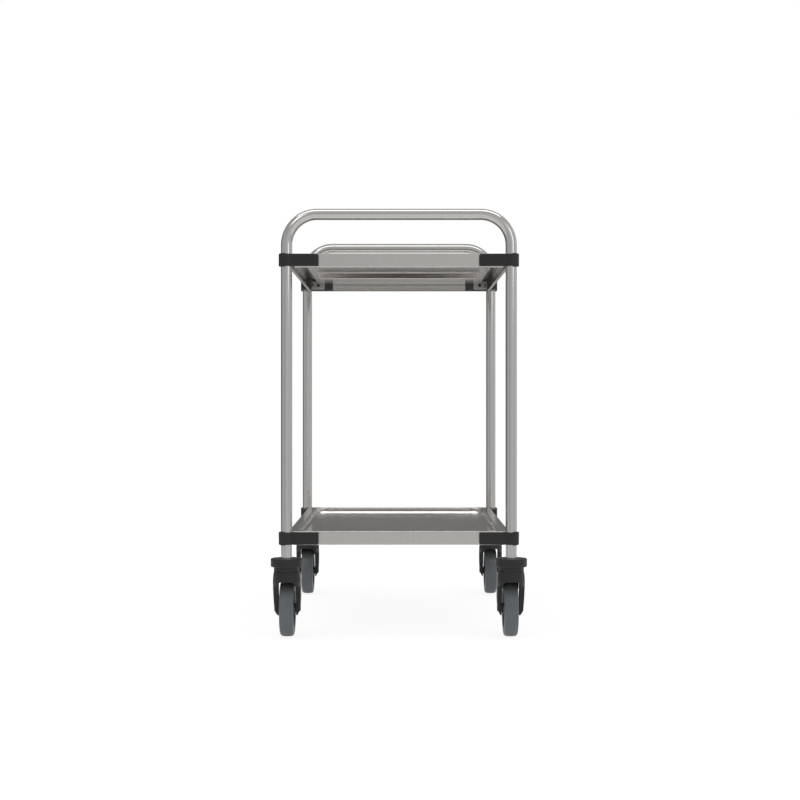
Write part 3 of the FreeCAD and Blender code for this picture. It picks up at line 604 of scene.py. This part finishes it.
def about_wheel(across, radius, degrees, leg):
    """Places at a distance across, a radius and an angle to the rear of straight up, on a pressed pedal.

    They are tipped up about the pin by the brake's angle, which gives the rest pose.
    """
    angle = np.radians(degrees)
    along = caster_trail + radius * np.sin(angle)
    up = wheel_radius + radius * np.cos(angle)
    points = np.stack(np.broadcast_arrays(across, along, up), axis=-1) - brake_pivot
    y = points[..., 1] * math.cos(brake_angle) - points[..., 2] * math.sin(brake_angle)
    z = points[..., 1] * math.sin(brake_angle) + points[..., 2] * math.cos(brake_angle)
    return np.stack([points[..., 0], y, z], axis=-1) + brake_pivot + leg_place(leg)


def pedal_tread(leg):
    """Curved plate with the raised toe: a rounded section carried round the wheel.

    Width and top rise by a smooth step at the toe; each grip bar adds a flat hump over its sweep.
    """
    even = np.linspace(pedal_start, pedal_end, 130)
    first = pedal_start + np.array([0.1, 0.3, 0.6])
    last = pedal_end - np.array([0.1, 0.2, 0.4, 0.7])
    degrees = np.unique(np.concatenate([even, first, last]))[:, None]
    toe = smooth_step(degrees, toe_start, toe_start + toe_ramp)
    wide = pedal_half + toe_overhang * toe
    grips = np.zeros_like(degrees)
    for start in grip_starts:
        stop = start + grip_sweep
        rise = smooth_step(degrees, start, start + grip_ramp)
        grips = np.maximum(grips, rise - smooth_step(degrees, stop - grip_ramp, stop))
    reach = np.radians(np.minimum(degrees - pedal_start, pedal_end - degrees)) * pedal_outside
    shrink = drawn_in(reach, pedal_edge)
    top = pedal_outside + toe_height * toe - shrink
    bend = np.linspace(0, math.pi / 2, 6)
    edge_in = pedal_edge * (1 - np.cos(bend))
    edge_drop = pedal_edge * (1 - np.sin(bend))
    share = np.linspace(-1, 1, 25)[1:-1]
    corner_in = np.concatenate([[0.0], edge_in, np.full(len(share), pedal_edge), edge_in[::-1], [0.0]])
    corner_drop = np.concatenate([[0.0], edge_drop, np.zeros(len(share)), edge_drop[::-1], [0.0]])
    rim = np.ones(len(bend) + 1)
    place = np.concatenate([-rim, share, rim])
    across = place * (wide - corner_in)
    off_end = 1 - smooth_step(np.abs(across), wide - grip_end_flat, wide - grip_end)
    hump = grips * grip_height * off_end * (np.abs(place) < 1)
    middle = (pedal_inside + top) / 2
    upper = top - corner_drop + hump
    upper[:, [0, -1]] = middle
    lower = pedal_inside + shrink + corner_drop * 0.6 + np.zeros_like(upper)
    lower[:, [0, -1]] = middle - edge_row
    points = np.concatenate([about_wheel(across, upper, degrees, leg),
                             about_wheel(across, lower, degrees, leg)[:, ::-1]], axis=1)
    return points.reshape(-1, 3), capped_faces(*points.shape[:2])


def pedal_guide(leg, side):
    """Plate beside the tyre: a thin section carried round the wheel, its lower corners rounded."""
    even = np.linspace(pedal_start, guide_end, 40)
    first = np.linspace(pedal_start, pedal_start + guide_corner_rows, 12)
    last = np.linspace(guide_end - guide_corner_rows, guide_end, 12)
    degrees = np.unique(np.concatenate([even, first, last]))[:, None]
    reach = np.radians(np.minimum(degrees - pedal_start, guide_end - degrees)) * guide_low
    low = guide_low + drawn_in(reach, guide_corner)
    edge_share = np.array([0.0, 0.004, 0.02, 0.1, 0.3])
    share = np.concatenate([edge_share, [0.5], 1 - edge_share[::-1]])
    inset = np.zeros(len(share))
    inset[[0, -1]] = guide_edge
    inset[[1, -2]] = guide_edge * 0.4
    radius = low + share * (pedal_inside - low)
    outside = side * (pedal_half - inset) + np.zeros_like(radius)
    inside = side * (guide_inside + inset) + np.zeros_like(radius)
    points = np.concatenate([about_wheel(outside, radius, degrees, leg),
                             about_wheel(inside, radius, degrees, leg)[:, ::-1]], axis=1)
    faces = capped_faces(*points.shape[:2])
    return points.reshape(-1, 3), faces if side < 0 else faces[:, ::-1]


def pedal_barrel(leg):
    """Barrel on the pin: half a ring section with a rounded rim and its mirror, turned about the pivot."""
    rim = barrel_edge * np.array([1.0, 0.62, 0.29, 0.08, 0.0])
    radius = np.concatenate([[pedal_bore, pedal_bore + edge_row], pedal_hub_radius - rim])
    along = np.concatenate([[pedal_half - edge_row, pedal_half], pedal_half - rim[::-1]])
    radius = np.concatenate([radius, radius[::-1]])
    along = np.concatenate([along, -along[::-1]])
    points = turned_points(radius, along, barrel_steps)[..., [2, 0, 1]] + brake_pivot + leg_place(leg)
    faces = grid_faces(len(radius), barrel_steps, closed_rows=True, closed_columns=True)[:, ::-1]
    return points.reshape(-1, 3), faces


def brake_treadle(leg, material):
    """Brake pedal of one caster: tread, two guides beside the tyre and the barrel on the pin."""
    shells = [pedal_tread(leg), pedal_guide(leg, -1), pedal_guide(leg, 1), pedal_barrel(leg)]
    starts = np.cumsum([0] + [len(points) for points, _ in shells])
    points = np.concatenate([points for points, _ in shells])
    faces = np.concatenate([faces + start for (_, faces), start in zip(shells, starts)])
    name = "treadle_" + leg
    made = piece(name, surface_mesh(name, points, faces), "brake_" + leg, material)
    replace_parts(made, "brake_pedal_" + leg)


# Shader building

def link_or_set(tree, socket, value):
    """Join a socket to another one, or give it a plain value."""
    if isinstance(value, bpy.types.NodeSocket):
        tree.links.new(value, socket)
    else:
        socket.default_value = value


def add(tree, kind, settings=None, **inputs):
    """New shader node with properties from settings and inputs by socket name, underscores for spaces."""
    made = tree.nodes.new("ShaderNode" + kind)
    for name, value in (settings or {}).items():
        setattr(made, name, value)
    for name, value in inputs.items():
        link_or_set(tree, made.inputs[name.replace("_", " ")], value)
    return made


def calculate(tree, operation, *values):
    """Output of a Math node."""
    made = add(tree, "Math", {"operation": operation})
    for socket, value in zip(made.inputs, values):
        link_or_set(tree, socket, value)
    return made.outputs[0]


def blend_colours(tree, factor, first, second):
    """Output of a colour Mix node."""
    made = add(tree, "Mix", {"data_type": "RGBA"})
    link_or_set(tree, made.inputs[0], factor)
    link_or_set(tree, made.inputs[6], first)
    link_or_set(tree, made.inputs[7], second)
    return made.outputs[2]


def ramp(tree, value, low, high, to_low, to_high):
    """Smooth step of a value between two limits."""
    made = add(tree, "MapRange", {"interpolation_type": "SMOOTHSTEP"}, Value=value,
               From_Min=low, From_Max=high, To_Min=to_low, To_Max=to_high)
    return made.outputs[0]


def new_group(name, inputs, outputs):
    """Empty shader node group with its sockets, and its two end nodes."""
    tree = bpy.data.node_groups.new(name, "ShaderNodeTree")
    for socket, kind in inputs.items():
        tree.interface.new_socket(socket, in_out="INPUT", socket_type="NodeSocket" + kind)
    for socket, kind in outputs.items():
        tree.interface.new_socket(socket, in_out="OUTPUT", socket_type="NodeSocket" + kind)
    return tree, tree.nodes.new("NodeGroupInput"), tree.nodes.new("NodeGroupOutput")


def grinding_group():
    """Long fine scratches from stretched noise, with broad clouds of duller handling."""
    tree, start, end = new_group(
        "grinding", {"Place": "Vector", "Lie": "Vector", "Broad": "Float"},
        {"Scratches": "Float", "Clouds": "Float"})
    stretched = add(tree, "VectorMath", {"operation": "MULTIPLY"})
    tree.links.new(start.outputs["Place"], stretched.inputs[0])
    tree.links.new(start.outputs["Lie"], stretched.inputs[1])
    fine = add(tree, "TexNoise", Vector=stretched.outputs[0], Scale=1.0, Detail=4.0, Roughness=0.65)
    broad = add(tree, "TexNoise", Vector=start.outputs["Place"], Scale=start.outputs["Broad"], Detail=3.0)
    tree.links.new(ramp(tree, fine.outputs[0], 0.3, 0.7, 0.0, 1.0), end.inputs["Scratches"])
    tree.links.new(ramp(tree, broad.outputs[0], 0.35, 0.7, 0.0, 1.0), end.inputs["Clouds"])
    return tree


def moulding_group():
    """Fine pitted grain of a spark-eroded mould, flow clouds, and dust on the faces that look up."""
    tree, start, end = new_group(
        "moulding", {"Place": "Vector", "Grain": "Float"},
        {"Pits": "Float", "Clouds": "Float", "Dust": "Float"})
    pits = add(tree, "TexNoise", Vector=start.outputs["Place"], Scale=start.outputs["Grain"], Detail=2.0)
    clouds = add(tree, "TexNoise", Vector=start.outputs["Place"], Scale=24.0, Detail=4.0)
    up = add(tree, "SeparateXYZ", Vector=add(tree, "NewGeometry").outputs["Normal"])
    settled = ramp(tree, up.outputs["Z"], 0.5, 1.0, 0.0, 1.0)
    specks = ramp(tree, clouds.outputs[0], 0.4, 0.7, 0.3, 1.0)
    tree.links.new(pits.outputs[0], end.inputs["Pits"])
    tree.links.new(ramp(tree, clouds.outputs[0], 0.35, 0.65, 0.0, 1.0), end.inputs["Clouds"])
    tree.links.new(calculate(tree, "MULTIPLY", settled, specks), end.inputs["Dust"])
    return tree


GRINDING = grinding_group()
MOULDING = moulding_group()


def new_material(name):
    """Material with its tree and its Principled shader."""
    made = bpy.data.materials.new(name)
    made.use_nodes = True
    tree = made.node_tree
    return made, tree, tree.nodes["Principled BSDF"]


def placed(tree, group, coordinates, **inputs):
    """A shared group placed in a material."""
    made = tree.nodes.new("ShaderNodeGroup")
    made.node_tree = group
    tree.links.new(coordinates, made.inputs["Place"])
    for name, value in inputs.items():
        link_or_set(tree, made.inputs[name], value)
    return made


def bump(tree, height, distance, strength, shader):
    """Height in metres as a bump on the shader's normal."""
    made = add(tree, "Bump", Height=height, Distance=distance, Strength=strength)
    tree.links.new(made.outputs[0], shader.inputs["Normal"])


def rolled_lie(tree, lie):
    """Stretch of the scratches by the face: as given, but turned level on faces that look to the sides."""
    sideways = add(tree, "SeparateXYZ", Vector=add(tree, "NewGeometry").outputs["Normal"]).outputs["X"]
    share = ramp(tree, calculate(tree, "ABSOLUTE", sideways), 0.6, 0.8, 0.0, 1.0)
    made = add(tree, "Mix", {"data_type": "VECTOR"})
    link_or_set(tree, made.inputs[0], share)
    link_or_set(tree, made.inputs[4], lie)
    link_or_set(tree, made.inputs[5], lie[::-1])
    return made.outputs[1]


# Finishes

def ground_steel(name, dark, light, smooth, rough, lie, broad, depth, use_uv=False):
    """Ground steel: scratches along the lie vary colour, roughness and a shallow bump."""
    made, tree, shader = new_material(name)
    place = add(tree, "TexCoord").outputs["UV" if use_uv else "Object"]
    grind = placed(tree, GRINDING, place, Lie=lie if use_uv else rolled_lie(tree, lie), Broad=broad)
    scratches = grind.outputs["Scratches"]
    clouds = grind.outputs["Clouds"]
    tree.links.new(blend_colours(tree, scratches, dark + (1,), light + (1,)), shader.inputs["Base Color"])
    dulling = calculate(tree, "ADD", calculate(tree, "MULTIPLY", scratches, 0.6),
                        calculate(tree, "MULTIPLY", clouds, 0.4))
    tree.links.new(ramp(tree, dulling, 0.0, 1.0, smooth, rough), shader.inputs["Roughness"])
    shader.inputs["Metallic"].default_value = 1.0
    bump(tree, scratches, depth, 0.12, shader)
    return made


def moulded_plastic(name, colour, worn, dust, rough, grain, pit_depth):
    """Moulded plastic: flow clouds in the colour, dust on upper faces, fine pits in bump and roughness."""
    made, tree, shader = new_material(name)
    place = add(tree, "TexCoord").outputs["Object"]
    mould = placed(tree, MOULDING, place, Grain=grain)
    clouded = blend_colours(tree, mould.outputs["Clouds"], colour + (1,), worn + (1,))
    dusted = calculate(tree, "MULTIPLY", mould.outputs["Dust"], 0.25)
    tree.links.new(blend_colours(tree, dusted, clouded, dust + (1,)), shader.inputs["Base Color"])
    tree.links.new(ramp(tree, mould.outputs["Pits"], 0.2, 0.8, rough - 0.06, rough + 0.06),
                   shader.inputs["Roughness"])
    shader.inputs["Specular IOR Level"].default_value = 0.34
    bump(tree, mould.outputs["Pits"], pit_depth, 0.3, shader)
    return made


def metal_finishes():
    """Finishes of the metal pieces, by the record's slot or by the pieces that have their own kind."""
    return {
        "stainless_tube": ground_steel(
            "ground tube", dark=(0.545, 0.532, 0.518), light=(0.567, 0.553, 0.538), smooth=0.12, rough=0.19,
            lie=(3.0, 160.0, 1.0), broad=9.0, depth=0.000003, use_uv=True),
        "stainless_sheet": ground_steel(
            "rolled sheet", dark=(0.538, 0.520, 0.502), light=(0.558, 0.540, 0.522), smooth=0.17, rough=0.19,
            lie=(500.0, 6.0, 6.0), broad=6.0, depth=0.0000006),
        "dull_zinc": ground_steel(
            "dull zinc", dark=(0.34, 0.34, 0.335), light=(0.43, 0.43, 0.42), smooth=0.34, rough=0.46,
            lie=(240.0, 240.0, 240.0), broad=60.0, depth=0.00001),
        "black_screw": ground_steel(
            "blackened screw", dark=(0.030, 0.030, 0.031), light=(0.045, 0.045, 0.045), smooth=0.36,
            rough=0.5, lie=(400.0, 400.0, 400.0), broad=90.0, depth=0.000006),
        "plated_steel": ground_steel(
            "plated steel", dark=(0.46, 0.47, 0.48), light=(0.54, 0.54, 0.54), smooth=0.24, rough=0.36,
            lie=(300.0, 300.0, 300.0), broad=30.0, depth=0.000006),
    }


def plastic_finishes():
    """Finishes of the plastic and rubber pieces, named in the same way."""
    return {
        "black_plastic": moulded_plastic(
            "black plastic", colour=(0.0136, 0.0136, 0.0138), worn=(0.0158, 0.0158, 0.0158),
            dust=(0.06, 0.06, 0.06), rough=0.42, grain=1600.0, pit_depth=0.00008),
        "grey_tyre": moulded_plastic(
            "grey tyre", colour=(0.093, 0.102, 0.108), worn=(0.104, 0.113, 0.120),
            dust=(0.16, 0.165, 0.17), rough=0.40, grain=900.0, pit_depth=0.00003),
        "hub_plastic": moulded_plastic(
            "hub plastic", colour=(0.092, 0.095, 0.098), worn=(0.104, 0.107, 0.110),
            dust=(0.15, 0.15, 0.15), rough=0.45, grain=1500.0, pit_depth=0.00008),
        "bush_plastic": moulded_plastic(
            "bush plastic", colour=(0.035, 0.035, 0.036), worn=(0.040, 0.040, 0.041),
            dust=(0.10, 0.10, 0.10), rough=0.35, grain=2000.0, pit_depth=0.00003),
        "black_rubber": moulded_plastic(
            "black rubber", colour=(0.020, 0.020, 0.020), worn=(0.026, 0.026, 0.026),
            dust=(0.09, 0.09, 0.09), rough=0.6, grain=1200.0, pit_depth=0.0001),
        "clamp_plastic": moulded_plastic(
            "clamp plastic", colour=(0.066, 0.064, 0.063), worn=(0.078, 0.076, 0.075),
            dust=(0.12, 0.12, 0.12), rough=0.5, grain=1400.0, pit_depth=0.00008),
    }


def dress_nodes(finishes):
    """Give every solid the finish of its slot, which shows where no piece replaces it."""
    for part in frame["record"]["subparts"]:
        mesh = nodes[part["node"]].data
        finish = "clamp_plastic" if "inner_clamps" in part["node"] else part["material_slot"]
        mesh.materials.clear()
        mesh.materials.append(finishes[finish])


# Studio

def lobe(tree, way, aim, edge, core, strength):
    """Soft patch of light round a direction: a smooth step from edge to core, in degrees from it."""
    unit = np.array(aim) / np.linalg.norm(aim)
    toward = add(tree, "VectorMath", {"operation": "DOT_PRODUCT"})
    tree.links.new(way, toward.inputs[0])
    toward.inputs[1].default_value = tuple(unit)
    return ramp(tree, toward.outputs["Value"], math.cos(math.radians(edge)), math.cos(math.radians(core)),
                0.0, strength)


def studio_world():
    """White to the camera; a soft grey room to what the metal mirrors; an even fill to everything else.

    The room is lighter to the right, dark behind the cart at its own height, and bright low in front, where
    a pale floor would be.
    """
    room_grey = 0.575
    room_lean = 0.08
    fill = 0.74
    world = bpy.data.worlds.new("studio")
    world.use_nodes = True
    bpy.context.scene.world = world
    tree = world.node_tree
    ground = tree.nodes["Background"]
    way = add(tree, "TexCoord").outputs["Generated"]
    axes = add(tree, "SeparateXYZ", Vector=way)
    in_front = ramp(tree, axes.outputs["Y"], 0.1, -0.5, 0.0, 1.0)
    low = ramp(tree, axes.outputs["Z"], -0.13, -0.42, 0.0, 0.46)
    level = ramp(tree, calculate(tree, "ABSOLUTE", axes.outputs["Z"]), 0.14, 0.42, 1.0, 0.25)
    behind = lobe(tree, way, aim=(0.0, 1.0, 0.0), edge=80.0, core=15.0, strength=-0.48)
    room = calculate(tree, "MULTIPLY_ADD", axes.outputs["X"], room_lean, room_grey)
    for patch in (
        calculate(tree, "MULTIPLY", in_front, low),
        lobe(tree, way, aim=(0.22, -0.97, 0.0), edge=26.0, core=6.0, strength=0.12),
        lobe(tree, way, aim=(-0.90, -0.44, 0.0), edge=30.0, core=8.0, strength=0.08),
        lobe(tree, way, aim=(-0.80, 0.60, 0.0), edge=40.0, core=10.0, strength=-0.12),
        calculate(tree, "MULTIPLY", level, behind),
        lobe(tree, way, aim=(0.0, 1.0, -0.35), edge=30.0, core=10.0, strength=0.22),
        lobe(tree, way, aim=(0.80, 0.60, 0.0), edge=40.0, core=10.0, strength=0.25),
    ):
        room = calculate(tree, "ADD", room, patch)
    path = add(tree, "LightPath")
    mirrored = calculate(tree, "MAXIMUM", path.outputs["Is Glossy Ray"], path.outputs["Is Transmission Ray"])
    lit = add(tree, "Mix", Factor=mirrored, A=fill, B=room)
    seen = add(tree, "Mix", Factor=path.outputs["Is Camera Ray"], A=lit.outputs[0], B=1.0)
    tree.links.new(seen.outputs[0], ground.inputs["Strength"])
    ground.inputs["Color"].default_value = (1, 1, 1, 1)


def floor_finish():
    """Pale floor: light of its own to the camera makes it white, and it keeps a faint shadow of the cart.

    It is clear from below, so that the underside can be seen.
    """
    near = 0.6
    glow_end = 1.2
    made, tree, shader = new_material("pale floor")
    seen = add(tree, "LightPath").outputs["Is Camera Ray"]
    away = add(tree, "VectorMath", {"operation": "LENGTH"})
    tree.links.new(add(tree, "TexCoord").outputs["Object"], away.inputs[0])
    white = ramp(tree, away.outputs["Value"], near, floor_radius * 0.97, 0.88, 1.0)
    glow = ramp(tree, away.outputs["Value"], near, glow_end, 0.35, 0.08)
    tree.links.new(blend_colours(tree, seen, (0.76, 0.76, 0.76, 1), (0.15, 0.15, 0.15, 1)),
                   shader.inputs["Base Color"])
    shader.inputs["Roughness"].default_value = 0.9
    shader.inputs["Specular IOR Level"].default_value = 0.1
    shader.inputs["Emission Color"].default_value = (1, 1, 1, 1)
    own = add(tree, "Mix", Factor=seen, A=glow, B=white)
    tree.links.new(own.outputs[0], shader.inputs["Emission Strength"])
    open_below = add(tree, "MixShader", Fac=add(tree, "NewGeometry").outputs["Backfacing"])
    tree.links.new(shader.outputs[0], open_below.inputs[1])
    tree.links.new(add(tree, "BsdfTransparent").outputs[0], open_below.inputs[2])
    tree.links.new(open_below.outputs[0], tree.nodes["Material Output"].inputs["Surface"])
    return made


def studio_floor():
    """Round floor: one face through the points of a circle."""
    angle = np.linspace(0, 2 * math.pi, floor_steps, endpoint=False)
    points = floor_radius * np.stack([np.cos(angle), np.sin(angle), np.zeros_like(angle)], axis=-1)
    mesh = surface_mesh("floor", points, np.arange(len(angle))[None, :])
    mesh.materials.append(floor_finish())
    floor = bpy.data.objects.new("floor", mesh)
    bpy.context.scene.collection.objects.link(floor)


def softbox(name, place, aim, size, radiance):
    """Rectangular lamp of a given brightness that looks at a point."""
    lamp = bpy.data.lights.new(name, "AREA")
    lamp.shape = "RECTANGLE"
    lamp.size, lamp.size_y = size
    lamp.energy = radiance * size[0] * size[1] * math.pi
    made = bpy.data.objects.new(name, lamp)
    bpy.context.scene.collection.objects.link(made)
    made.location = place
    made.visible_camera = False
    direction = np.array(aim) - np.array(place)
    flat = math.hypot(direction[0], direction[1])
    turn = math.atan2(direction[1], direction[0]) - math.pi / 2 if flat else 0.0
    made.rotation_euler = (math.atan2(flat, -direction[2]), 0, turn)
    return made


def studio_lamps():
    """Long softbox overhead, a small one at the front left, a weak one at the front right, one behind.

    The one behind draws the bright line at the far edge of the bottom shelf and lights that shelf alone.
    """
    softbox("overhead", place=(0.0, -0.78, 3.0), aim=(0.0, -0.78, 0.0), size=(3.2, 1.1), radiance=1.9)
    behind = softbox("behind", place=(0.0, 0.72, 1.15), aim=(0.0, 0.35, 0.23), size=(0.50, 0.58),
                     radiance=5.0)
    lit = bpy.data.collections.new("lit from behind")
    lit.objects.link(nodes["bottom_shelf"])
    behind.light_linking.receiver_collection = lit
    softbox("front left", place=(-1.3, -2.4, 2.4), aim=(0.0, -0.4, 0.1), size=(0.8, 0.8), radiance=2.4)
    softbox("front right", place=(2.4, -3.0, 1.8), aim=(0.0, 0.0, 0.5), size=(1.2, 1.6), radiance=1.2)


def photo_camera():
    """Camera of the photograph: level, square to the narrow end, a long lens."""
    data = bpy.data.cameras.new("photo")
    data.sensor_width = photo_sensor
    data.lens = photo_lens
    made = bpy.data.objects.new("photo", data)
    bpy.context.scene.collection.objects.link(made)
    made.location = photo_place
    made.rotation_euler = (math.pi / 2, 0, 0)
    bpy.context.scene.camera = made


def build():
    """Dress the cart and set the studio."""
    finishes = {**metal_finishes(), **plastic_finishes()}
    dress_nodes(finishes)
    for end_name, end in (("front", -1), ("rear", 1)):
        frame_tube(end_name, end, finishes["stainless_tube"])
    for level in shelf_middles:
        corner_screws(level, finishes["black_screw"])
        shelf_stiffener(level, finishes["stainless_sheet"])
        clamp_plates(level, finishes["dull_zinc"])
    for leg in LEGS:
        wheel_tyre(leg, finishes["grey_tyre"])
        wheel_centre(leg, finishes["hub_plastic"])
        wheel_rivet(leg, finishes["black_screw"])
    for leg in BRAKED:
        brake_treadle(leg, finishes["black_plastic"])
    studio_world()
    studio_floor()
    studio_lamps()
    photo_camera()
    bpy.context.scene.view_settings.view_transform = "Standard"


build()
